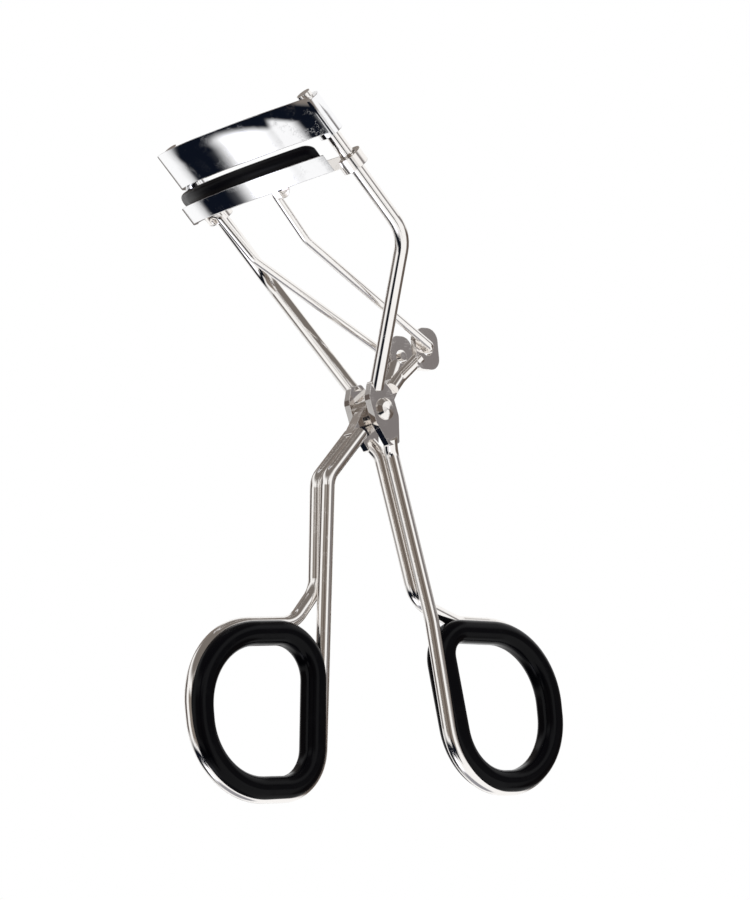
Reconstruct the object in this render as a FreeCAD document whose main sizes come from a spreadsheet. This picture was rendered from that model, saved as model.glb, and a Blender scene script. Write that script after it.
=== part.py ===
"""Wire eyelash curler: a scissor-handled frame whose sliding lower jaw closes against a fixed upper jaw.

Frame of the model, in millimetres: X runs right in the plane of the handles, Y runs along the pivot
pin and the width of the jaws, Z runs up. The tool stands on its two finger loops at Z = 0.
"""
import FreeCAD
import Part

import math
import os

from FreeCAD import Placement, Rotation, Vector

os.makedirs("parts", exist_ok=True)
doc = FreeCAD.newDocument("eyelash_curler")

# ---------------------------------------------------------------- driving dimensions
SIZES = [
    # the bent wire of the frame and the lever
    ("wire_dia", 2.2),
    ("pair_offset", 1.25),        # half the distance between the two wires of one handle
    # the pivot, in the plane of the handles
    ("pivot_x", 3.0),
    ("pivot_z", 58.9),
    ("rivet_dia", 1.8),
    ("rivet_head_dia", 3.4),
    ("rivet_head_rise", 0.9),
    ("plate_offset", 2.4),        # middle of each frame plate from the middle plane
    ("plate_thick", 1.2),
    ("plate_width", 4.8),
    ("plate_above", 4.6),
    ("plate_below", 5.6),
    ("plate_lean", 14.0),
    ("hub_thick", 2.0),           # flattened part of the lever between the frame plates
    ("hub_width", 4.4),
    ("hub_reach", 6.6),
    ("washer_dia", 4.2),
    ("running_gap", 0.05),
    # the two posts that carry the jaws
    ("post_top_x", -19.4),
    ("post_top_z", 102.2),
    ("post_half", 16.0),
    ("post_length", 26.2),
    ("post_slope", 47.7),
    ("post_bend", 7.0),
    # the jaws: arcs in a plane that dips from the posts
    ("jaw_bulge", 8.5),
    ("jaw_dip", 18.5),
    ("jaw_sheet", 0.8),
    ("upper_height", 6.3),
    ("upper_below_top", 1.0),
    ("jaw_gap", 0.6),
    ("pad_width", 3.0),
    ("pad_height", 3.4),
    ("pad_angle", 45.5),
    ("lip_height", 0.9),
    ("skirt_height", 1.3),
    ("ring_wall", 0.85),
    ("ring_height", 2.2),
    ("ring_gap", 0.15),
    ("ring_drop", 0.1),           # the rings start this far below the pad's foot
    ("tab_thick", 1.6),
    ("tab_height", 2.0),
    ("tab_lap", 0.9),             # the tab starts this far inside the trough
    ("tab_back_angle", 3.0),      # and this many degrees before the jaw's end
    # the two push rods
    ("rod_dia", 1.3),
    ("rod_spread", 8.2),          # each rod at the jaw, from the middle plane
    ("rod_outward", 0.3),         # each rod at the jaw, outwards from the pad's middle
    ("rod_knee", 9.0),            # the rods leave the jaw along the posts for this far
    ("rod_knee_radius", 4.0),
    ("rod_hook_radius", 0.9),
    ("rod_side_gap", 0.25),       # between a rod and the inside of its lug
    ("rod_ear_gap", 0.35),        # between a rod and the outside of its ear
    ("rod_tip", 0.5),             # the hooks end this far past the lug and the ear
    ("lug_drop", 0.5),
    ("lug_wall", 0.75),
    ("lug_thick", 1.0),
    # the fork at the end of the lever
    ("ear_x", 12.4),
    ("ear_z", 68.8),
    ("ear_offset", 3.0),
    ("ear_thick", 1.1),
    ("ear_width", 4.6),
    ("ear_height", 6.6),
    ("ear_hole", 2.2),
    # the finger loops, along the middle of their wire
    ("left_loop_height", 25.3),
    ("left_loop_far", -35.75),
    ("left_loop_near", -14.3),
    ("left_low_radius", 7.5),
    ("left_leave_run", 4.2),      # where the wire leaves the loop for the handle
    ("left_leave_rise", 5.0),
    ("right_loop_height", 25.8),
    ("right_loop_near", 13.6),
    ("right_loop_top", 10.3),
    ("right_loop_far", 35.75),
    ("right_low_radius", 10.8),
    ("right_leave_run", 7.5),
    ("right_leave_rise", 3.2),
    ("loop_fall", 0.6),           # the loop's far top corner below its near one
    ("far_low_radius", 11.2),
    ("far_high_radius", 12.3),
    ("leave_radius", 5.0),
    ("left_knee_x", -8.1),
    ("left_knee_z", 48.2),
    # the rings round the inside of the loops, each with a groove for the wire
    ("grip_thick", 3.6),
    ("grip_depth", 3.8),
    ("grip_round", 1.5),
    ("grip_lap", 0.8),            # the ring reaches this far outside the wire's middle
    ("grip_top_lap", 0.4),
    ("left_near_lap", 0.8),
    ("left_near_thick", 3.6),
    ("left_top_radius", 7.3),
    ("right_near_lap", 0.5),
    ("right_near_thick", 4.4),
    ("right_top_radius", 5.6),
]
sheet = doc.addObject("Spreadsheet::Sheet", "sizes")
for row, (alias, value) in enumerate(SIZES, start=1):
    sheet.set(f"A{row}", alias)
    sheet.set(f"B{row}", str(value))
    sheet.setAlias(f"B{row}", alias)
doc.recompute()


def size(alias):
    """The number in the sheet's cell of that name."""
    return float(sheet.get(alias))


wire_r = size("wire_dia") / 2
pair_y = size("pair_offset")
pivot = Vector(size("pivot_x"), 0, size("pivot_z"))
FRONT, BACK = -1, 1
NAMES = {FRONT: "front", BACK: "back"}


# ---------------------------------------------------------------- helpers
def rounded_path(corners, radii, closed=False):
    """Edges of a path of straight runs whose inner corners are tangent arcs."""
    count = len(corners)
    turning = range(count) if closed else range(1, count - 1)
    entries, exits, arcs = {}, {}, {}
    for i in turning:
        before, here, after = corners[i - 1], corners[i], corners[(i + 1) % count]
        back = (before - here).normalize()
        ahead = (after - here).normalize()
        half = math.acos(max(-1.0, min(1.0, back.dot(ahead)))) / 2
        reach = radii[i] / math.tan(half)
        bisector = (back + ahead).normalize()
        middle = here + bisector * (radii[i] / math.sin(half) - radii[i])
        entries[i], exits[i] = here + back * reach, here + ahead * reach
        arcs[i] = Part.Arc(entries[i], middle, exits[i]).toShape()
    edges = []
    for i in range(count if closed else count - 1):
        following = (i + 1) % count
        start = exits.get(i, corners[i])
        end = entries.get(following, corners[following])
        if (end - start).Length > 1e-6:
            edges.append(Part.LineSegment(start, end).toShape())
        if following in arcs:
            edges.append(arcs[following])
    return edges


def bent_wire(corners, radii, radius):
    """A round wire along a path of straight runs and tangent arcs."""
    path = Part.Wire(rounded_path(corners, radii))
    start = corners[0]
    along = corners[1] - corners[0]
    section = Part.Wire(Part.Circle(start, along, radius).toShape())
    return path.makePipeShell([section], True, False)


def flat_outline(corners, radii):
    """A face in a plane Y = constant with rounded corners."""
    return Part.Face(Part.Wire(rounded_path(corners, radii, closed=True)))


def cylinder_y(x, z, y_from, y_to, radius):
    """A pin or hole along Y."""
    return Part.makeCylinder(radius, y_to - y_from, Vector(x, y_from, z), Vector(0, 1, 0))


def inset(corners, distances):
    """Corners of a polygon in XZ with side i (from corner i to the next) moved in by distances[i]."""
    count = len(corners)
    centre = Vector(sum(c.x for c in corners) / count, 0, sum(c.z for c in corners) / count)
    lines = []
    for i in range(count):
        a, b = corners[i], corners[(i + 1) % count]
        along = Vector(b.x - a.x, 0, b.z - a.z).normalize()
        inward = Vector(-along.z, 0, along.x)
        if inward.dot(centre - Vector(a.x, 0, a.z)) < 0:
            inward = inward * -1
        lines.append((Vector(a.x, 0, a.z) + inward * distances[i], along))
    result = []
    for i in range(count):
        (p, u), (q, v) = lines[i - 1], lines[i]
        cross = u.x * v.z - u.z * v.x
        t = ((q.x - p.x) * v.z - (q.z - p.z) * v.x) / cross
        result.append(p + u * t)
    return result


def add_feature(label, shape):
    """A sub-part whose shape is computed here, because its path or profile leaves one plane."""
    feature = doc.addObject("Part::Feature", label)
    feature.Label = label
    feature.Shape = shape
    feature.Placement = Placement()
    return feature


# ---------------------------------------------------------------- finger loops
def on_line(foot, head, z):
    """The point at that height on the straight line between two points of one plane Y = 0."""
    share = (z - foot.z) / (head.z - foot.z)
    return Vector(foot.x + share * (head.x - foot.x), 0, z)


def loop_corners(foot, head, far_x, height):
    """Corners of a loop's wire in the plane of the handles.

    In order they are near bottom, far bottom, far top and near top. The near side lies on the
    line of the handle, from foot to head.
    """
    top = foot.z + height
    return [foot, Vector(far_x, 0, foot.z), Vector(far_x, 0, top - size("loop_fall")),
            on_line(foot, head, top)]


def at_y(point, y):
    return Vector(point.x, y, point.z)


def loop_run(corners, head, leave_run, leave_rise):
    """The wire's corners round one loop, from the near foot to where it joins the handle again.

    It enters on the front wire's side and leaves on the back wire's side, as one bent wire does.
    """
    near_bottom, far_bottom, far_top, near_top = corners
    joint = on_line(near_bottom, head, near_top.z + leave_rise)
    outwards = 1 if far_top.x > near_top.x else -1
    leave = near_top + Vector(outwards * leave_run, 0, 0)
    return [at_y(near_bottom, -0.3 * pair_y), far_bottom, at_y(far_top, 0.7 * pair_y),
            at_y(leave, pair_y), at_y(joint, pair_y)]


def loop_radii(low_radius):
    """Radii at the corners that loop_run gives."""
    return [low_radius, size("far_low_radius"), size("far_high_radius"), size("leave_radius"),
            size("leave_radius")]


left_knee = Vector(size("left_knee_x"), 0, size("left_knee_z"))
left_foot = Vector(size("left_loop_near"), 0, wire_r)
left_loop = loop_corners(left_foot, left_knee, size("left_loop_far"), size("left_loop_height"))


# ---------------------------------------------------------------- frame: posts, plates, right handle
slope = math.radians(size("post_slope"))
post_down = Vector(math.cos(slope), 0, -math.sin(slope))
post_up = post_down * -1
lean = math.radians(size("plate_lean"))
plate_down = Vector(math.sin(lean), 0, -math.cos(lean))
plate_top = pivot - plate_down * size("plate_above")
plate_foot = pivot + plate_down * size("plate_below")
handle_start = plate_foot - plate_down * 1.2
post_start = plate_top + plate_down * 1.2


def post_top(side):
    return Vector(size("post_top_x"), side * size("post_half"), size("post_top_z"))


def post_wire(side):
    top = post_top(side)
    corner = top + post_down * size("post_length")
    foot = at_y(post_start, side * size("plate_offset"))
    return bent_wire([top, corner, foot], [0, size("post_bend"), 0], wire_r)


def frame_plate(side):
    """The flattened stretch of wire at the pivot: broad at the top, tapering into the handle."""
    across = Vector(math.cos(lean), 0, math.sin(lean))
    half = size("plate_width") / 2
    neck = wire_r * 0.95
    y = side * size("plate_offset") - size("plate_thick") / 2
    shoulder = plate_down * (size("plate_above") - 2.2)
    corners = [plate_top - across * neck, pivot - shoulder - across * half,
               pivot + plate_down * 1.6 - across * half, plate_foot - across * neck,
               plate_foot + across * neck, pivot + plate_down * 1.6 + across * half,
               pivot - shoulder + across * half, plate_top + across * neck]
    radii = [0.5, 1.5, 1.8, 0.5, 0.5, 1.8, 1.5, 0.5]
    face = flat_outline([at_y(c, y) for c in corners], radii)
    return face.extrude(Vector(0, size("plate_thick"), 0))


handle_corner = plate_foot + plate_down * 1.0 + Vector(0.5, 0, 0)
right_foot = Vector(size("right_loop_near"), 0, wire_r)
right_shoulder = Vector(size("right_loop_top"), 0, wire_r + size("right_loop_height"))
right_loop = loop_corners(right_foot, right_shoulder, size("right_loop_far"), size("right_loop_height"))
right_path = [at_y(handle_start, -size("plate_offset")), at_y(handle_corner, -pair_y),
              at_y(right_shoulder, -pair_y)]
right_run = loop_run(right_loop, right_shoulder, size("right_leave_run"), size("right_leave_rise"))
right_run[-1] = at_y(on_line(right_shoulder, handle_corner, right_run[-1].z), pair_y)
right_path += right_run + [at_y(handle_corner, pair_y), at_y(handle_start, size("plate_offset"))]
right_radii = [0, 3.0, 14.0, *loop_radii(size("right_low_radius")), 3.0, 0]

rivet_r = size("rivet_dia") / 2
plate_outer = size("plate_offset") + size("plate_thick") / 2
plate_inner = size("plate_offset") - size("plate_thick") / 2

frame = bent_wire(right_path, right_radii, wire_r)
for side in (FRONT, BACK):
    frame = frame.fuse([post_wire(side), frame_plate(side)])
frame = frame.cut(cylinder_y(pivot.x, pivot.z, -8, 8, rivet_r)).removeSplitter()
add_feature("frame_wire", frame)

# ---------------------------------------------------------------- lever: left handle, hub, fork
to_knee = (left_knee - pivot).normalize()
ear = Vector(size("ear_x"), 0, size("ear_z"))
to_ear = (ear - pivot).normalize()
hub_half = size("hub_thick") / 2
arm_start = size("hub_reach") - 1.4

left_path = [at_y(pivot + to_knee * arm_start, -pair_y), at_y(left_knee, -pair_y)]
left_path += loop_run(left_loop, left_knee, size("left_leave_run"), size("left_leave_rise"))
left_path += [at_y(left_knee, pair_y), at_y(pivot + to_knee * arm_start, pair_y)]
left_radii = [0, 4.0, *loop_radii(size("left_low_radius")), 4.0, 0]


def hub():
    """The flattened middle of the lever, turning between the two frame plates."""
    half = size("hub_width") / 2
    lower_side = Vector(to_knee.z, 0, -to_knee.x)
    upper_side = Vector(-to_ear.z, 0, to_ear.x)
    knee_end = pivot + to_knee * size("hub_reach")
    ear_end = pivot + to_ear * size("hub_reach")
    neck = wire_r * 0.9
    corners = [knee_end + lower_side * neck, pivot + lower_side * half, ear_end + upper_side * neck,
               ear_end - upper_side * neck, pivot - lower_side * half, knee_end - lower_side * neck]
    face = flat_outline([at_y(c, -hub_half) for c in corners], [0.4, 1.5, 0.4, 0.4, 1.5, 0.4])
    return face.extrude(Vector(0, 2 * hub_half, 0))


def fork_arm(side):
    """One wire from the hub out to its ear."""
    knee = pivot + to_ear * (size("hub_reach") + 1.0)
    end = ear - to_ear * 1.8
    return bent_wire([at_y(pivot + to_ear * arm_start, side * pair_y), at_y(knee, side * pair_y),
                      at_y(end, side * size("ear_offset"))], [0, 2.0, 0], wire_r * 0.9)


def ear_plate(side):
    y = side * size("ear_offset") - size("ear_thick") / 2
    half_w, half_h = size("ear_width") / 2, size("ear_height") / 2
    corners = [Vector(ear.x + sx * half_w, y, ear.z + sz * half_h)
               for sx, sz in ((-1, -1), (1, -1), (1, 1), (-1, 1))]
    return flat_outline(corners, [1.2, 1.9, 1.9, 1.9]).extrude(Vector(0, size("ear_thick"), 0))


lever = bent_wire(left_path, left_radii, wire_r).fuse(hub())
for side in (FRONT, BACK):
    lever = lever.fuse([fork_arm(side), ear_plate(side)])
lever = lever.cut(cylinder_y(pivot.x, pivot.z, -8, 8, rivet_r + size("running_gap")))
lever = lever.cut(cylinder_y(ear.x, ear.z, -8, 8, size("ear_hole") / 2))
add_feature("lever_wire", lever.removeSplitter())

# ---------------------------------------------------------------- pivot rivet and washers
rivet = doc.addObject("PartDesign::Body", "pivot_rivet")
rivet.Label = "pivot_rivet"
xz_plane = [f for f in rivet.Origin.OriginFeatures if f.Role == "XZ_Plane"][0]
rivet_sketch = rivet.newObject("Sketcher::SketchObject", "rivet_profile")
rivet_sketch.AttachmentSupport = [(xz_plane, "")]
rivet_sketch.MapMode = "FlatFace"
head_r, head_rise = size("rivet_head_dia") / 2, size("rivet_head_rise")
tip = plate_outer + head_rise
dome = [(0, -tip), (head_r * 0.62, -tip + head_rise * 0.22), (head_r, -plate_outer - 0.15),
        (head_r, -plate_outer), (rivet_r, -plate_outer)]
profile = dome + [(x, -z) for x, z in reversed(dome)]
for i, (x, z) in enumerate(profile):
    nx, nz = profile[(i + 1) % len(profile)]
    rivet_sketch.addGeometry(Part.LineSegment(Vector(x, z, 0), Vector(nx, nz, 0)), False)
doc.recompute()
turned = rivet.newObject("PartDesign::Revolution", "rivet_turned")
turned.Profile = rivet_sketch
turned.ReferenceAxis = (rivet_sketch, ["V_Axis"])
turned.Angle = 360.0
rivet.Tip = turned
doc.recompute()
rivet.Placement = Placement(pivot, Rotation(Vector(1, 0, 0), -90))

for side in (FRONT, BACK):
    name = f"washer_{NAMES[side]}"
    disc = doc.addObject("Part::Cylinder", f"{name}_disc")
    disc.setExpression("Radius", "sizes.washer_dia / 2")
    disc.setExpression("Height", "sizes.plate_offset - sizes.plate_thick / 2 - sizes.hub_thick / 2"
                                 " - sizes.running_gap")
    bore = doc.addObject("Part::Cylinder", f"{name}_bore")
    bore.setExpression("Radius", "sizes.rivet_dia / 2")
    bore.Height = 4
    bore.Placement = Placement(Vector(0, 0, -1), Rotation())
    washer = doc.addObject("Part::Cut", name)
    washer.Label = name
    washer.Base, washer.Tool = disc, bore
    outer = side * plate_inner
    washer.Placement = Placement(Vector(pivot.x, outer, pivot.z), Rotation(Vector(1, 0, 0), 90 * side))

# ---------------------------------------------------------------- jaws
# Both jaws are arcs about one centre, in a plane through Y that dips towards the user's side.
# They are drawn in that plane (first coordinate along Y, second outwards) and run along the posts.
dip = math.radians(size("jaw_dip"))
outward = Vector(-math.cos(dip), 0, -math.sin(dip))
bulge, post_half = size("jaw_bulge"), size("post_half")
arc_r = (post_half ** 2 + bulge ** 2) / (2 * bulge)
post_angle = math.degrees(math.asin(post_half / arc_r))
band_r = arc_r + wire_r + size("jaw_sheet") / 2


def jaw_point(radius, angle, down):
    """A point at that radius and angle from the arc's centre, that far down the posts."""
    a = math.radians(angle)
    top = Vector(size("post_top_x"), 0, size("post_top_z"))
    across = Vector(0, radius * math.sin(a), 0)
    out = outward * (radius * math.cos(a) - (arc_r - bulge))
    return top + across + out + post_down * down


def arc_block(inner, outer, half_angle, down_from, down_to):
    """An arc-shaped wall between two radii, run along the posts between two depths."""
    def arc(radius, sign):
        return Part.Arc(jaw_point(radius, -sign * half_angle, down_from), jaw_point(radius, 0, down_from),
                        jaw_point(radius, sign * half_angle, down_from)).toShape()
    edges = [arc(inner, 1),
             Part.LineSegment(jaw_point(inner, half_angle, down_from),
                              jaw_point(outer, half_angle, down_from)).toShape(),
             arc(outer, -1),
             Part.LineSegment(jaw_point(outer, -half_angle, down_from),
                              jaw_point(inner, -half_angle, down_from)).toShape()]
    return Part.Face(Part.Wire(edges)).extrude(post_down * (down_to - down_from))


def post_tube(side, inner, outer, down_from, down_to):
    """A tube round one post between two depths."""
    base = post_top(side) + post_down * down_from
    length = down_to - down_from
    tube = Part.makeCylinder(outer, length, base, post_down)
    return tube.cut(Part.makeCylinder(inner, length + 2, base - post_down, post_down))


def post_bore(side, radius, length=40.0):
    return Part.makeCylinder(radius, length, post_top(side) - post_down * 5, post_down)


half_sheet = size("jaw_sheet") / 2
upper_top = size("upper_below_top")
upper_foot = upper_top + size("upper_height")
upper_jaw = arc_block(band_r - half_sheet, band_r + half_sheet, post_angle, upper_top, upper_foot)
for side in (FRONT, BACK):
    hem = Part.makeCylinder(wire_r + size("jaw_sheet"), size("upper_height"),
                            post_top(side) + post_down * upper_top, post_down)
    upper_jaw = upper_jaw.fuse(hem)
for side in (FRONT, BACK):
    upper_jaw = upper_jaw.cut(post_bore(side, wire_r))
add_feature("upper_jaw", upper_jaw.removeSplitter())

pad_top = upper_foot + size("jaw_gap")
pad_foot = pad_top + size("pad_height")
pad_half = size("pad_width") / 2
pad = arc_block(band_r - pad_half, band_r + pad_half, size("pad_angle"), pad_top, pad_foot)
for side in (FRONT, BACK):
    pad = pad.cut(post_bore(side, wire_r + size("jaw_sheet") + size("ring_gap")))
add_feature("rubber_pad", pad)

# The lower jaw is a trough for the pad with a skirt below its outer wall.
trough_in, trough_out = band_r - pad_half, band_r + pad_half
sheet_t = size("jaw_sheet")
lip_top = pad_foot - size("lip_height")
skirt_foot = pad_foot + sheet_t + size("skirt_height")
jaw_angle = size("pad_angle") + 1.0
lower_jaw = arc_block(trough_in - sheet_t, trough_out + sheet_t, jaw_angle, pad_foot, pad_foot + sheet_t)
lower_jaw = lower_jaw.fuse([
    arc_block(trough_out, trough_out + sheet_t, jaw_angle, lip_top, skirt_foot),
    arc_block(trough_in - sheet_t, trough_in, jaw_angle, lip_top, pad_foot + sheet_t)])

ring_in = wire_r + size("ring_gap")
ring_out = ring_in + size("ring_wall")
ring_top = pad_foot + size("ring_drop")
ring_foot = ring_top + size("ring_height")
for side in (FRONT, BACK):
    ring = post_tube(side, ring_in, ring_out, ring_top, ring_foot)
    tab_from = jaw_point(trough_in + size("tab_lap"), side * (jaw_angle - size("tab_back_angle")), pad_foot)
    centre = post_top(side) + post_down * pad_foot
    reach = centre - tab_from
    width = Vector(0, 1, 0).cross(outward).cross(reach).normalize() * (size("tab_thick") / 2)
    corners = [tab_from + width, tab_from - width, centre - width, centre + width]
    tab = Part.Face(Part.makePolygon(corners + [corners[0]])).extrude(post_down * size("tab_height"))
    tab = tab.cut(post_bore(side, ring_in + 0.3))
    guide = ring.fuse(tab).cut(post_bore(side, ring_in)).removeSplitter()
    lower_jaw = lower_jaw.cut(guide).cut(post_bore(side, ring_in))
    add_feature(f"guide_ring_{NAMES[side]}", guide)
add_feature("lower_jaw", lower_jaw.removeSplitter())

# ---------------------------------------------------------------- lugs and push rods
rod_r = size("rod_dia") / 2
ear_inner = size("ear_offset") - size("ear_thick") / 2
lug_radius = band_r + size("rod_outward")
lug_angle = math.degrees(math.asin(size("rod_spread") / lug_radius))
lug_seat = pad_foot + sheet_t
eye = jaw_point(lug_radius, lug_angle, lug_seat + size("lug_drop") + rod_r)
eye = Vector(eye.x, 0, eye.z)
lug_thick = size("lug_thick")
for side in (FRONT, BACK):
    centre = at_y(eye, side * size("rod_spread"))
    reach_up = post_up * (rod_r + size("lug_drop") + 2.0)
    half_w = rod_r + size("lug_wall")
    along = Vector(0, 1, 0).cross(post_up).normalize() * half_w
    y0 = Vector(0, -lug_thick / 2, 0)
    strap = Part.Face(Part.makePolygon([centre + along + y0, centre - along + y0,
                                        centre - along + reach_up + y0, centre + along + reach_up + y0,
                                        centre + along + y0])).extrude(Vector(0, lug_thick, 0))
    lug = Part.makeCylinder(half_w, lug_thick, centre + y0, Vector(0, 1, 0)).fuse(strap)
    lug = lug.cut(cylinder_y(eye.x, eye.z, -20, 20, rod_r + size("running_gap")))
    lug_length = size("lug_drop") + 2 * (rod_r + half_w)
    keep = arc_block(trough_in - sheet_t, trough_out, jaw_angle, lug_seat, lug_seat + lug_length)
    add_feature(f"rod_lug_{NAMES[side]}", lug.common(keep).removeSplitter())

    # The rod hooks through its lug from the inside and through its ear from the outside.
    y_lug = side * (size("rod_spread") - lug_thick / 2 - size("rod_side_gap") - rod_r)
    y_out = side * (size("ear_offset") + size("ear_thick") / 2 + size("rod_ear_gap") + rod_r)
    y_tip = side * (ear_inner - size("rod_tip"))
    hook = size("rod_hook_radius")
    knee = eye + post_down * size("rod_knee")
    y_knee = y_lug + (y_out - y_lug) * 0.25
    y_start = side * (size("rod_spread") + lug_thick / 2 + size("rod_tip"))
    rod = bent_wire([at_y(eye, y_start), at_y(eye, y_lug), at_y(knee, y_knee), at_y(ear, y_out),
                     at_y(ear, y_tip)], [0, hook, size("rod_knee_radius"), hook, 0], rod_r)
    add_feature(f"push_rod_{NAMES[side]}", rod)

# ---------------------------------------------------------------- finger rings
depth = size("grip_depth")
thick = size("grip_thick")
GRIPS = {"left": (left_loop, left_path, left_radii), "right": (right_loop, right_path, right_radii)}
for name, (corners, path, radii) in GRIPS.items():
    # Sides in order: bottom, far side, top, near side.
    laps = [size("grip_lap"), size("grip_lap"), size("grip_top_lap"), size(f"{name}_near_lap")]
    walls = [thick, thick, thick, size(f"{name}_near_thick")]
    turns = [size(f"{name}_low_radius"), size("far_low_radius"), size("far_high_radius"),
             size(f"{name}_top_radius")]
    outer_turns = [turn + laps[0] for turn in turns]
    hole_turns = [turn - max(walls[i - 1], walls[i]) for i, turn in enumerate(outer_turns)]
    outer = inset(corners, [-lap for lap in laps])
    hole = inset(corners, [wall - lap for wall, lap in zip(walls, laps)])
    band = flat_outline([at_y(c, -depth / 2) for c in outer], outer_turns)
    band = band.cut(flat_outline([at_y(c, -depth / 2) for c in hole], hole_turns))
    grip = band.extrude(Vector(0, depth, 0))
    rims = [e for e in grip.Edges if abs(abs(e.BoundBox.YMin) - depth / 2) < 1e-6
            and e.BoundBox.YLength < 1e-6]
    grip = grip.makeFillet(size("grip_round"), rims)
    grip = grip.cut(bent_wire(path, radii, wire_r))
    add_feature(f"grip_{name}", grip.removeSplitter())

# ---------------------------------------------------------------- check and write
doc.recompute()
NODES = ["frame_wire", "lever_wire", "pivot_rivet", "washer_front", "washer_back", "upper_jaw",
         "lower_jaw", "rubber_pad", "guide_ring_front", "guide_ring_back", "rod_lug_front",
         "rod_lug_back", "push_rod_front", "push_rod_back", "grip_left", "grip_right"]
for obj in doc.Objects:
    if "Invalid" in obj.State or "Error" in obj.State:
        raise RuntimeError(f"{obj.Label} failed: {obj.State}")
for node in NODES:
    shape = doc.getObjectsByLabel(node)[0].Shape
    if shape.isNull() or not shape.isValid():
        raise RuntimeError(f"{node} has no valid shape")
    box = shape.BoundBox
    print(f"{node}: {len(shape.Solids)} solid, {shape.Volume:.1f} mm3, X {box.XMin:.1f}..{box.XMax:.1f} "
          f"Y {box.YMin:.1f}..{box.YMax:.1f} Z {box.ZMin:.2f}..{box.ZMax:.2f}")
    shape.exportStep(f"parts/{node}.step")
print(f"rod eye at X {eye.x:.3f} Z {eye.z:.3f}, posts fall at {size('post_slope')} degrees")
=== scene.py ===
# %% [markdown]
# An eyelash curler is a small polished tool: bent, plated wire, bright sheet jaws, a black rubber pad
# and two black finger rings. Its shapes come from the frame, so this script gives each piece its
# finish, makes the soft pad as a moulded strip, and lights the whole as in a studio.

# %% Load the frame
import bpy
import math
from mathutils import Matrix, Vector


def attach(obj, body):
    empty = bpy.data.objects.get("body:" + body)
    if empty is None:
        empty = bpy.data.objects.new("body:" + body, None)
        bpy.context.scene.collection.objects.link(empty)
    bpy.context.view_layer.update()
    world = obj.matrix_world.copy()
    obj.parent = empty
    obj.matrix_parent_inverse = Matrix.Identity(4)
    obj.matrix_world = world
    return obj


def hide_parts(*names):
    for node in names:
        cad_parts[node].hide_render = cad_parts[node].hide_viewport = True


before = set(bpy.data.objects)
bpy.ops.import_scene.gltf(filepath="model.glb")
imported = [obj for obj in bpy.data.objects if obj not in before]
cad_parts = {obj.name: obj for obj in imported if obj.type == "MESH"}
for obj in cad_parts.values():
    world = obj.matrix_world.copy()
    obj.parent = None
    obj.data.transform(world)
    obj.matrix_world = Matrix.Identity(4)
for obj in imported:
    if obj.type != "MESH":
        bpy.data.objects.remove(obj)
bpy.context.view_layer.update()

# %% [markdown]
# The tool is seen from its left front and from a little below, with a long lens, so that both handles
# and the outside of the jaws show. The camera leans by a few degrees, which tips the tool to one side.

# %% Camera
VIEW_TURN = math.radians(-42.0)
VIEW_RISE = math.radians(-9.82)
VIEW_LEAN = math.radians(-5.05)
VIEW_DISTANCE = 0.480
VIEW_TARGET = Vector((0.00294, 0.0, 0.05309))
LENS_MM = 126.2


def camera_axes(turn, rise, lean):
    """Right, up and back directions of a camera turned about Z, raised and leaned."""
    back = Vector((math.sin(turn) * math.cos(rise), -math.cos(turn) * math.cos(rise), math.sin(rise)))
    level = Vector((math.cos(turn), math.sin(turn), 0.0))
    up = back.cross(level)
    right = level * math.cos(lean) + up * math.sin(lean)
    return right, back.cross(right), back


right, up, back = camera_axes(VIEW_TURN, VIEW_RISE, VIEW_LEAN)
camera = bpy.data.objects.new("camera", bpy.data.cameras.new("camera"))
bpy.context.scene.collection.objects.link(camera)
camera.data.lens = LENS_MM
camera.data.sensor_width = 36.0
camera.data.clip_start = 0.01
camera.data.clip_end = 20.0
rotation = Matrix((right, up, back)).transposed().to_4x4()
camera.matrix_world = Matrix.Translation(VIEW_TARGET + back * VIEW_DISTANCE) @ rotation
bpy.context.scene.camera = camera
print("camera at", [round(v, 3) for v in camera.matrix_world.translation])

# %% [markdown]
# Polished metal has no look of its own: it shows the room. A studio for such a tool is a white tent
# with a few grey, tan and black panels, and each panel draws one line along every wire. Real cards
# could be stood round the tool, but the tool is small and the cards large, so their direction is all
# that counts. The room is therefore a sky, and each panel is a soft-edged patch of it, placed by two
# angles: round the tool (0 is towards the camera) and up or down from the tool's middle.

# %% Node helpers
def math_node(tree, operation, *values):
    """One Math node of a tree, fed by sockets or numbers."""
    node = tree.nodes.new("ShaderNodeMath")
    node.operation = operation
    for socket, value in zip(node.inputs, values):
        if isinstance(value, (int, float)):
            socket.default_value = value
        else:
            tree.links.new(value, socket)
    return node.outputs[0]


def rise(tree, value, low, high):
    """0 below low and 1 above high, smooth between."""
    node = tree.nodes.new("ShaderNodeMapRange")
    node.interpolation_type = "SMOOTHSTEP"
    node.inputs["From Min"].default_value = low
    node.inputs["From Max"].default_value = high
    tree.links.new(value, node.inputs["Value"])
    return node.outputs["Result"]


print("two helpers for the sky and the finishes")

# %% [markdown]
# The tent fills the whole sky. Its two angles are measured from the camera's first place, and they stay
# fixed to the room when the camera moves.

# %% White tent
bpy.context.scene.view_settings.view_transform = "Standard"
world = bpy.data.worlds.new("studio")
bpy.context.scene.world = world
world.use_nodes = True
tent = world.node_tree
directions = tent.nodes.new("ShaderNodeTexCoord").outputs["Generated"]


def along(axis):
    """How far each sky direction points along an axis, from -1 to 1."""
    node = tent.nodes.new("ShaderNodeVectorMath")
    node.operation = "DOT_PRODUCT"
    node.inputs[1].default_value = axis
    tent.links.new(directions, node.inputs[0])
    return node.outputs["Value"]


around = math_node(tent, "DEGREES", math_node(tent, "ARCTAN2", along(right), along(back)))
above = math_node(tent, "DEGREES", math_node(tent, "ARCSINE", along(up)))
print("sky angles ready")

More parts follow.
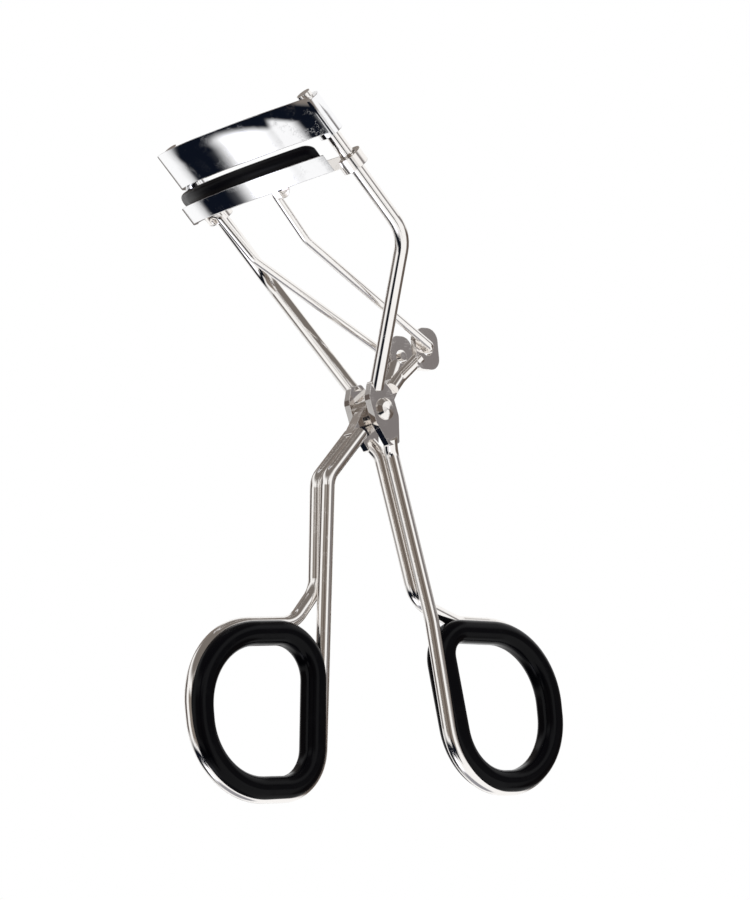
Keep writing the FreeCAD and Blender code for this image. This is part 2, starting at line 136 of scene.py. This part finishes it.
# %% One panel
def between(angle, start, end, soft):
    """1 between two angles and 0 outside them, with soft edges."""
    return math_node(tent, "SUBTRACT", rise(tent, angle, start - soft, start + soft),
                     rise(tent, angle, end - soft, end + soft))


def panel(sky, start, end, foot, head, soft, colour):
    """Lays a soft patch of one colour over the sky, between two angles round and two up."""
    mix = tent.nodes.new("ShaderNodeMix")
    mix.data_type = "RGBA"
    patch = math_node(tent, "MULTIPLY", between(around, start, end, soft), between(above, foot, head, soft))
    tent.links.new(patch, mix.inputs["Factor"])
    if isinstance(sky, tuple):
        mix.inputs[6].default_value = sky
    else:
        tent.links.new(sky, mix.inputs[6])
    mix.inputs[7].default_value = (*colour, 1.0)
    return mix.outputs[2]


print("panels can be laid")

# %% Panels
# start, end, foot and head in degrees, softness in degrees, colour
PANELS = {
    "ceiling": (-200, 200, 44, 120, 8, (0.19, 0.17, 0.155)),
    "far_left": (-200, -165, -26, 6, 3, (0.16, 0.14, 0.13)),
    "behind_left": (-166, -134, 8, 60, 5, (0.22, 0.19, 0.17)),
    "left_wall": (-132, -88, -14, 26, 5, (0.12, 0.10, 0.09)),
    "front_wall": (-52, 34, -16, 30, 6, (0.23, 0.20, 0.175)),
    "front_pole": (-9, 9, -28, 46, 3, (0.13, 0.105, 0.09)),
    "right_wall": (66, 118, 7, 21, 4, (0.215, 0.20, 0.20)),
    "behind_right": (88, 152, -34, 9, 5, (0.13, 0.105, 0.09)),
    "table_edge": (-132, -12, -43, -26, 4, (0.004, 0.006, 0.012)),
    "table_near": (-20, 24, -33, -12, 3, (0.004, 0.006, 0.012)),
    "table_corner": (-134, -80, -60, -20, 13, (0.004, 0.006, 0.012)),
    "under_table": (-200, 200, -120, -66, 5, (0.30, 0.30, 0.33)),
    "floor_lamp": (-66, -22, -62, -50, 8, (2.4, 2.45, 2.9)),
}
WHITE = (1.0, 1.0, 1.0, 1.0)
sky = WHITE
for name, (start, end, foot, head, soft, colour) in PANELS.items():
    sky = panel(sky, start, end, foot, head, soft, colour)
background = tent.nodes["Background"]
tent.links.new(sky, background.inputs["Color"])
print(len(PANELS), "panels in the sky")

# %% [markdown]
# Seen past the tool, the tent is plain white. A light path switch gives the camera a white backdrop and
# leaves the panels to the metal.

# %% Backdrop
backdrop = tent.nodes.new("ShaderNodeBackground")
backdrop.inputs["Color"].default_value = WHITE
switch = tent.nodes.new("ShaderNodeMixShader")
tent.links.new(tent.nodes.new("ShaderNodeLightPath").outputs["Is Camera Ray"], switch.inputs[0])
tent.links.new(background.outputs[0], switch.inputs[1])
tent.links.new(backdrop.outputs[0], switch.inputs[2])
tent.links.new(switch.outputs[0], tent.nodes["World Output"].inputs["Surface"])
print("white backdrop ready")

# %% [markdown]
# The tool stands on a pale table. The camera looks up at it from just under the table top, so the
# table is clear from below and solid from above. Only the camera sees it: the mirrors keep the tent.

# %% Table
TABLE_HALF = 5.0
TABLE_DROP = 0.0002
TABLE_COLOUR = (0.88, 0.88, 0.875, 1.0)
TABLE_ROUGHNESS = 0.7


def new_material(name):
    """A material with only a Principled shader and its output."""
    material = bpy.data.materials.new(name)
    material.use_nodes = True
    return material, material.node_tree.nodes, material.node_tree.links


mesh = bpy.data.meshes.new("table")
corners = [(x * TABLE_HALF, y * TABLE_HALF, -TABLE_DROP) for x, y in ((-1, -1), (1, -1), (1, 1), (-1, 1))]
mesh.from_pydata(corners, [], [(0, 1, 2, 3)])
table = bpy.data.objects.new("table", mesh)
bpy.context.scene.collection.objects.link(table)
pale, nodes, links = new_material("pale_table")
nodes["Principled BSDF"].inputs["Base Color"].default_value = TABLE_COLOUR
nodes["Principled BSDF"].inputs["Roughness"].default_value = TABLE_ROUGHNESS
clear = nodes.new("ShaderNodeBsdfTransparent")
one_sided = nodes.new("ShaderNodeMixShader")
links.new(nodes.new("ShaderNodeNewGeometry").outputs["Backfacing"], one_sided.inputs[0])
links.new(nodes["Principled BSDF"].outputs[0], one_sided.inputs[1])
links.new(clear.outputs[0], one_sided.inputs[2])
links.new(one_sided.outputs[0], nodes["Material Output"].inputs["Surface"])
mesh.materials.append(pale)
table.visible_glossy = table.visible_diffuse = table.visible_shadow = False
print("table", 2 * TABLE_HALF, "m across")

# %% [markdown]
# One large soft lamp, far overhead, lights the whole table evenly and gives the soft shadow under the
# tool. Its light comes from a wide disc of the ceiling, so its shadow has no hard edge.

# %% Soft lamp
LAMP_STRENGTH = 2.2
LAMP_WIDTH = math.radians(50.0)
LAMP_TILT = (math.radians(14.0), math.radians(-18.0), 0.0)
lamp = bpy.data.lights.new("soft_lamp", "SUN")
lamp.energy = LAMP_STRENGTH
lamp.angle = LAMP_WIDTH
soft_lamp = bpy.data.objects.new("soft_lamp", lamp)
soft_lamp.rotation_euler = LAMP_TILT
soft_lamp.visible_glossy = False
bpy.context.scene.collection.objects.link(soft_lamp)
print("soft lamp", round(math.degrees(LAMP_WIDTH)), "degrees wide")

# %% [markdown]
# Four effects are shared by the finishes: smudges left by fingers, fine scratches, worn and softened
# edges, and the grain of a moulded surface. Each is a node group that works in millimetres on the
# piece's own coordinates, so that it stays on the piece when the piece moves. Each gives only masks,
# heights or normals, and every finish sets its own sizes.

# %% Group helper
def new_group(name, inputs, outputs):
    """An empty node group with named sockets; inputs are names with a starting value."""
    tree = bpy.data.node_groups.new(name, "ShaderNodeTree")
    for socket, value in inputs.items():
        made = tree.interface.new_socket(socket, in_out="INPUT", socket_type="NodeSocketFloat")
        made.default_value = value
    for socket, kind in outputs.items():
        tree.interface.new_socket(socket, in_out="OUTPUT", socket_type=kind)
    return tree, tree.nodes.new("NodeGroupInput"), tree.nodes.new("NodeGroupOutput")


MM_PER_M = 1000.0


def in_millimetres(tree, stretch=(1.0, 1.0, 1.0)):
    """The piece's own coordinates in millimetres, stretched if asked."""
    place = tree.nodes.new("ShaderNodeTexCoord")
    scale = tree.nodes.new("ShaderNodeVectorMath")
    scale.operation = "MULTIPLY"
    scale.inputs[1].default_value = [MM_PER_M * s for s in stretch]
    tree.links.new(place.outputs["Object"], scale.inputs[0])
    return scale.outputs[0]


def noise(tree, place, scale, detail=2.0, roughness=0.5):
    """A noise value from 0 to 1 at a scale per millimetre."""
    node = tree.nodes.new("ShaderNodeTexNoise")
    node.inputs["Detail"].default_value = detail
    node.inputs["Roughness"].default_value = roughness
    tree.links.new(place, node.inputs["Vector"])
    if isinstance(scale, (int, float)):
        node.inputs["Scale"].default_value = scale
    else:
        tree.links.new(scale, node.inputs["Scale"])
    return node.outputs[0]


print("helpers ready")

# %% [markdown]
# Smudges are soft clouds a few millimetres wide, broken by a finer cloud. They dull the polish a little.

# %% Smudges
WIDE_CLOUD, FINE_CLOUD, FINE_SCALE = (0.42, 0.68), (0.3, 0.75), 1.1
smudges, given, made = new_group("smudges", {"Scale": 0.25}, {"Mask": "NodeSocketFloat"})
place = in_millimetres(smudges)
wide = rise(smudges, noise(smudges, place, given.outputs["Scale"], 3.0), *WIDE_CLOUD)
fine = rise(smudges, noise(smudges, place, FINE_SCALE), *FINE_CLOUD)
smudges.links.new(math_node(smudges, "MULTIPLY", wide, fine), made.inputs["Mask"])
print(smudges.name, "gives", [s.name for s in smudges.interface.items_tree])

# %% [markdown]
# Scratches are very thin lines. A noise stretched along one way and cut close to its middle value gives
# broken hairlines; two of them, one each way, look like the marks of wiping and of a drawer.

# %% Scratches
# the stretch of the noise, and how far from its middle value a line has faded out
WIPED, DRAWN = ((0.12, 1.0, 1.0), 0.018), ((1.0, 0.6, 0.1), 0.014)
GAP_SCALE, GAP_CLOUD = 0.5, (0.5, 0.62)
scratches, given, made = new_group("scratches", {"Scale": 3.0}, {"Mask": "NodeSocketFloat"})


def hairlines(stretch, width):
    """Thin broken lines where a stretched noise passes its middle value."""
    value = noise(scratches, in_millimetres(scratches, stretch), given.outputs["Scale"], 1.0)
    off_line = math_node(scratches, "ABSOLUTE", math_node(scratches, "SUBTRACT", value, 0.5))
    line = rise(scratches, off_line, 0.0, width)
    gaps = rise(scratches, noise(scratches, in_millimetres(scratches), GAP_SCALE), *GAP_CLOUD)
    return math_node(scratches, "MULTIPLY", math_node(scratches, "SUBTRACT", 1.0, line), gaps)


both = math_node(scratches, "MAXIMUM", hairlines(*WIPED), hairlines(*DRAWN))
scratches.links.new(both, made.inputs["Mask"])
print(scratches.name, "ready")

# %% [markdown]
# No formed or cut edge is razor sharp, and plating wears there first. A Bevel node gives the normal of a
# slightly rounded edge, and where it leans away from the flat normal, the mask marks the edge.

# %% Soft edges
LEAN_RANGE, WEAR_SCALE, WEAR_CLOUD = (0.02, 0.2), 1.6, (0.3, 0.6)
soft_edges, given, made = new_group("soft_edges", {"Radius": 0.0001},
                                    {"Mask": "NodeSocketFloat", "Normal": "NodeSocketVector"})
bevel = soft_edges.nodes.new("ShaderNodeBevel")
bevel.samples = 6
soft_edges.links.new(given.outputs["Radius"], bevel.inputs["Radius"])
shape = soft_edges.nodes.new("ShaderNodeNewGeometry")
lean = soft_edges.nodes.new("ShaderNodeVectorMath")
lean.operation = "DOT_PRODUCT"
soft_edges.links.new(bevel.outputs[0], lean.inputs[0])
soft_edges.links.new(shape.outputs["Normal"], lean.inputs[1])
edge = rise(soft_edges, math_node(soft_edges, "SUBTRACT", 1.0, lean.outputs["Value"]), *LEAN_RANGE)
broken = rise(soft_edges, noise(soft_edges, in_millimetres(soft_edges), WEAR_SCALE, 3.0), *WEAR_CLOUD)
soft_edges.links.new(math_node(soft_edges, "MULTIPLY", edge, broken), made.inputs["Mask"])
soft_edges.links.new(bevel.outputs[0], made.inputs["Normal"])
print(soft_edges.name, "ready")

# %% [markdown]
# Moulded plastic and rubber copy the skin of their mould: a fine grain, with a few specks of dust that
# cling to black.

# %% Moulded grain
SPECK_SCALE, SPECK_SIZE = 2.2, (0.03, 0.09)
PATCH_SCALE, PATCH_CLOUD = 0.35, (0.58, 0.66)
moulded, given, made = new_group("moulded_grain", {"Scale": 9.0},
                                 {"Height": "NodeSocketFloat", "Dust": "NodeSocketFloat"})
place = in_millimetres(moulded)
moulded.links.new(noise(moulded, place, given.outputs["Scale"], 3.0, 0.6), made.inputs["Height"])
specks = moulded.nodes.new("ShaderNodeTexVoronoi")
specks.inputs["Scale"].default_value = SPECK_SCALE
moulded.links.new(place, specks.inputs["Vector"])
near = math_node(moulded, "SUBTRACT", 1.0, rise(moulded, specks.outputs["Distance"], *SPECK_SIZE))
some = rise(moulded, noise(moulded, place, PATCH_SCALE, 1.0), *PATCH_CLOUD)
moulded.links.new(math_node(moulded, "MULTIPLY", near, some), made.inputs["Dust"])
print(moulded.name, "ready")

# %% [markdown]
# A jaw is stamped from bright sheet and its top edge rolls back a little, so the mirror there shows the
# dark edge of the table instead of the white tent. The roll is about a fifth of a millimetre, so a
# height that falls towards the top edge says it well enough.

# %% Rolled edge
JAW_DIP = math.radians(18.5)
POST_SLOPE = math.radians(47.7)
POST_TOP = Vector((-19.4, 0.0, 102.2))
down_axis = Vector((math.sin(JAW_DIP), 0.0, -math.cos(JAW_DIP))) / math.sin(JAW_DIP + POST_SLOPE)
rolled, given, made = new_group("rolled_edge", {"Start": 3.5, "Roll": 0.03}, {"Height": "NodeSocketFloat"})
depth = rolled.nodes.new("ShaderNodeVectorMath")
depth.operation = "DOT_PRODUCT"
depth.inputs[1].default_value = down_axis
rolled.links.new(in_millimetres(rolled), depth.inputs[0])
down = math_node(rolled, "SUBTRACT", depth.outputs["Value"], POST_TOP.dot(down_axis))
past = math_node(rolled, "MAXIMUM", math_node(rolled, "SUBTRACT", given.outputs["Start"], down), 0.0)
bent = math_node(rolled, "MULTIPLY", math_node(rolled, "MULTIPLY", past, past), given.outputs["Roll"])
rolled.links.new(math_node(rolled, "MULTIPLY", bent, -1 / MM_PER_M), made.inputs["Height"])
print(rolled.name, "falls along", [round(v, 3) for v in down_axis])

# %% [markdown]
# The wires, the small parts and the sheet are steel with a nickel and chrome plate. The plate is a warm
# white metal, slightly duller where fingers, edges and scratches have worn it. One recipe makes all
# three finishes, each with its own colour, polish and scale.

# %% Material helper
def place_group(material, group, **values):
    """The group as a node of the material, with its own values."""
    node = material.node_tree.nodes.new("ShaderNodeGroup")
    node.node_tree = group
    for name, value in values.items():
        node.inputs[name].default_value = value
    return node


def mix_colours(tree, factor, first, second):
    """Two colours mixed by a mask."""
    node = tree.nodes.new("ShaderNodeMix")
    node.data_type = "RGBA"
    tree.links.new(factor, node.inputs["Factor"])
    for socket, colour in ((node.inputs[6], first), (node.inputs[7], second)):
        if isinstance(colour, tuple):
            socket.default_value = (*colour, 1.0)
        else:
            tree.links.new(colour, socket)
    return node.outputs[2]


def bump(tree, height, distance, normal=None):
    """A Bump node that raises the surface by height times distance, in metres."""
    node = tree.nodes.new("ShaderNodeBump")
    node.inputs["Distance"].default_value = distance
    tree.links.new(height, node.inputs["Height"])
    if normal:
        tree.links.new(normal, node.inputs["Normal"])
    return node.outputs["Normal"]


# %% Plated metal
SMUDGE_TINT, SMUDGE_DULL, SCRATCH_DULL, WORN_DULL = 0.15, 0.4, 0.10, 0.10
SCRATCH_SCALE, SCRATCH_DEPTH = 3.0, 0.0000015


def plated(name, clean, worn, polish, smudge_scale, edge_mm, roll=None):
    """A plated metal: clean and worn colours, roughness when clean, and the sizes of its marks."""
    material, nodes, links = new_material(name)
    tree, shader = material.node_tree, nodes["Principled BSDF"]
    shader.inputs["Metallic"].default_value = 1.0
    marks = place_group(material, smudges, Scale=smudge_scale).outputs["Mask"]
    lines = place_group(material, scratches, Scale=SCRATCH_SCALE).outputs["Mask"]
    edges = place_group(material, soft_edges, Radius=edge_mm / MM_PER_M)
    wear = math_node(tree, "MAXIMUM", edges.outputs["Mask"], math_node(tree, "MULTIPLY", marks, SMUDGE_TINT))
    links.new(mix_colours(tree, wear, clean, worn), shader.inputs["Base Color"])
    rough = math_node(tree, "MULTIPLY_ADD", marks, SMUDGE_DULL * polish, polish)
    rough = math_node(tree, "MULTIPLY_ADD", lines, SCRATCH_DULL, rough)
    rough = math_node(tree, "MULTIPLY_ADD", edges.outputs["Mask"], WORN_DULL, rough)
    links.new(rough, shader.inputs["Roughness"])
    normal = edges.outputs["Normal"]
    if roll:
        normal = bump(tree, place_group(material, rolled, Start=roll[0], Roll=roll[1]).outputs["Height"],
                      1.0, normal)
    links.new(bump(tree, lines, -SCRATCH_DEPTH, normal), shader.inputs["Normal"])
    return material


plated_wire = plated("plated_wire", (0.93, 0.905, 0.88), (0.74, 0.69, 0.64), 0.07, 0.22, 0.08)
plated_small = plated("plated_small", (0.92, 0.89, 0.86), (0.70, 0.65, 0.60), 0.10, 0.5, 0.12)
bright_sheet = plated("bright_sheet", (0.955, 0.955, 0.965), (0.80, 0.79, 0.79), 0.035, 0.16, 0.14)
rolled_sheet = plated("rolled_sheet", (0.955, 0.955, 0.965), (0.80, 0.79, 0.79), 0.035, 0.16, 0.14,
                      roll=(4.0, 0.025))
print("plated finishes:", [m.name for m in (plated_wire, plated_small, bright_sheet, rolled_sheet)])

# %% [markdown]
# The finger rings are glossy black plastic and the pad is black rubber. Both are nearly black all over:
# what shows is the sheen. The plastic is smooth and keeps thin bright lines; the rubber is satin and
# spreads them. Grain, dust and finger marks break the gloss.

# %% Black mouldings
TOUCH_SCALE, TOUCH_DULL, SCUFF_WEIGHT, DUST_DULL = 0.3, 0.12, 0.4, 0.3


def black(name, body, dusty, gloss, grain_scale, grain_height, edge_mm, specular):
    """A black moulding: body and dust colours, roughness, and the size and depth of its grain."""
    material, nodes, links = new_material(name)
    tree, shader = material.node_tree, nodes["Principled BSDF"]
    shader.inputs["Specular IOR Level"].default_value = specular
    marks = place_group(material, smudges, Scale=TOUCH_SCALE).outputs["Mask"]
    grain = place_group(material, moulded, Scale=grain_scale)
    edges = place_group(material, soft_edges, Radius=edge_mm / MM_PER_M)
    scuffs = math_node(tree, "MULTIPLY", edges.outputs["Mask"], SCUFF_WEIGHT)
    pale_spots = math_node(tree, "MAXIMUM", grain.outputs["Dust"], scuffs)
    links.new(mix_colours(tree, pale_spots, body, dusty), shader.inputs["Base Color"])
    rough = math_node(tree, "MULTIPLY_ADD", marks, TOUCH_DULL, gloss)
    links.new(math_node(tree, "MULTIPLY_ADD", pale_spots, DUST_DULL, rough), shader.inputs["Roughness"])
    normal = bump(tree, grain.outputs["Height"], grain_height, edges.outputs["Normal"])
    links.new(normal, shader.inputs["Normal"])
    return material


ring_black = black("ring_black", (0.0012, 0.0012, 0.0022), (0.008, 0.008, 0.011), 0.16, 2.5, 0.000002, 0.15,
                   0.10)
pad_black = black("pad_black", (0.002, 0.0018, 0.0035), (0.02, 0.02, 0.022), 0.30, 9.0, 0.000005, 0.2, 0.12)
print("black finishes:", ring_black.name, pad_black.name)

# %% [markdown]
# Each piece of the frame keeps its shape and only changes its material. The jaws are sheet, the long
# bent pieces are wire, the rings are plastic, and whatever is left is a small plated part.

# %% Dress the frame
FINISH = {"upper_jaw": rolled_sheet, "lower_jaw": bright_sheet, "rubber_pad": pad_black,
          "grip_left": ring_black, "grip_right": ring_black, "frame_wire": plated_wire,
          "lever_wire": plated_wire, "push_rod_front": plated_wire, "push_rod_back": plated_wire}
for name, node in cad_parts.items():
    for material_slot in node.material_slots:
        material_slot.material = FINISH.get(name, plated_small)
print(len(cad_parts), "pieces dressed")

# %% [markdown]
# The pad is a moulded rubber strip, pressed into the trough of the lower jaw. Its CAD solid has sharp
# edges, which rubber never has, so a new strip stands for it: the solid is given an even skin of small
# faces, and smoothing that skin rounds the edges and lets the ends sink a little.

# %% Pad
SKIN_MM = 0.16
SMOOTHING = 24
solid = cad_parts["rubber_pad"]
pad = bpy.data.objects.new("lash_pad", solid.data.copy())
bpy.context.scene.collection.objects.link(pad)
skin = pad.modifiers.new("skin", "REMESH")
skin.mode = "VOXEL"
skin.voxel_size = SKIN_MM / MM_PER_M
smooth = pad.modifiers.new("smooth", "SMOOTH")
smooth.factor = 0.5
smooth.iterations = SMOOTHING
bpy.context.view_layer.update()
strip = bpy.data.meshes.new_from_object(pad.evaluated_get(bpy.context.evaluated_depsgraph_get()))
pad.modifiers.clear()
pad.data = strip
strip.shade_smooth()
print("skin has", len(strip.polygons), "faces")

# %% [markdown]
# The strip's section is nearly round where the lashes bend over it. Each point is put into the section's
# own square, from -1 to 1 both ways, and the square is squeezed towards a disc. The ends close too.

# %% Round the strip
JAW_HALF, JAW_BULGE, JAW_BAND = 16.0, 8.5, 1.5    # millimetres, as the frame has them
PAD_MIDDLE, PAD_HALF_WIDTH, PAD_HALF_HEIGHT, PAD_END = 9.6, 1.5, 1.7, math.radians(45.5)
ROUNDNESS, END_LENGTH, END_CLOSING = 0.85, math.radians(4.5), 0.7
outward = Vector((-math.cos(JAW_DIP), 0.0, -math.sin(JAW_DIP)))
post_down = Vector((math.cos(POST_SLOPE), 0.0, -math.sin(POST_SLOPE)))
arc_radius = (JAW_HALF ** 2 + JAW_BULGE ** 2) / (2 * JAW_BULGE)
for vertex in strip.vertices:
    offset = vertex.co * MM_PER_M - POST_TOP
    down = offset.dot(down_axis)
    out = (offset - down * post_down).dot(outward) + arc_radius - JAW_BULGE
    angle, radius = math.atan2(offset.y, out), math.hypot(offset.y, out)
    u = (radius - arc_radius - JAW_BAND) / PAD_HALF_WIDTH
    v = (down - PAD_MIDDLE) / PAD_HALF_HEIGHT
    u, v = u * math.sqrt(1 - ROUNDNESS * v * v / 2), v * math.sqrt(1 - ROUNDNESS * u * u / 2)
    end = min(max((abs(angle) - PAD_END + END_LENGTH) / END_LENGTH, 0.0), 1.0)
    close = math.sqrt(1 - END_CLOSING * end * end)
    radius = arc_radius + JAW_BAND + u * close * PAD_HALF_WIDTH
    down = PAD_MIDDLE + v * close * PAD_HALF_HEIGHT
    across = Vector((0.0, radius * math.sin(angle), 0.0))
    out = outward * (radius * math.cos(angle) - arc_radius + JAW_BULGE)
    vertex.co = (POST_TOP + across + out + post_down * down) / MM_PER_M
strip.update()
strip.materials.clear()
strip.materials.append(pad_black)
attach(pad, "sliding_jaw")
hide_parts("rubber_pad")
print("pad rides on the sliding jaw")
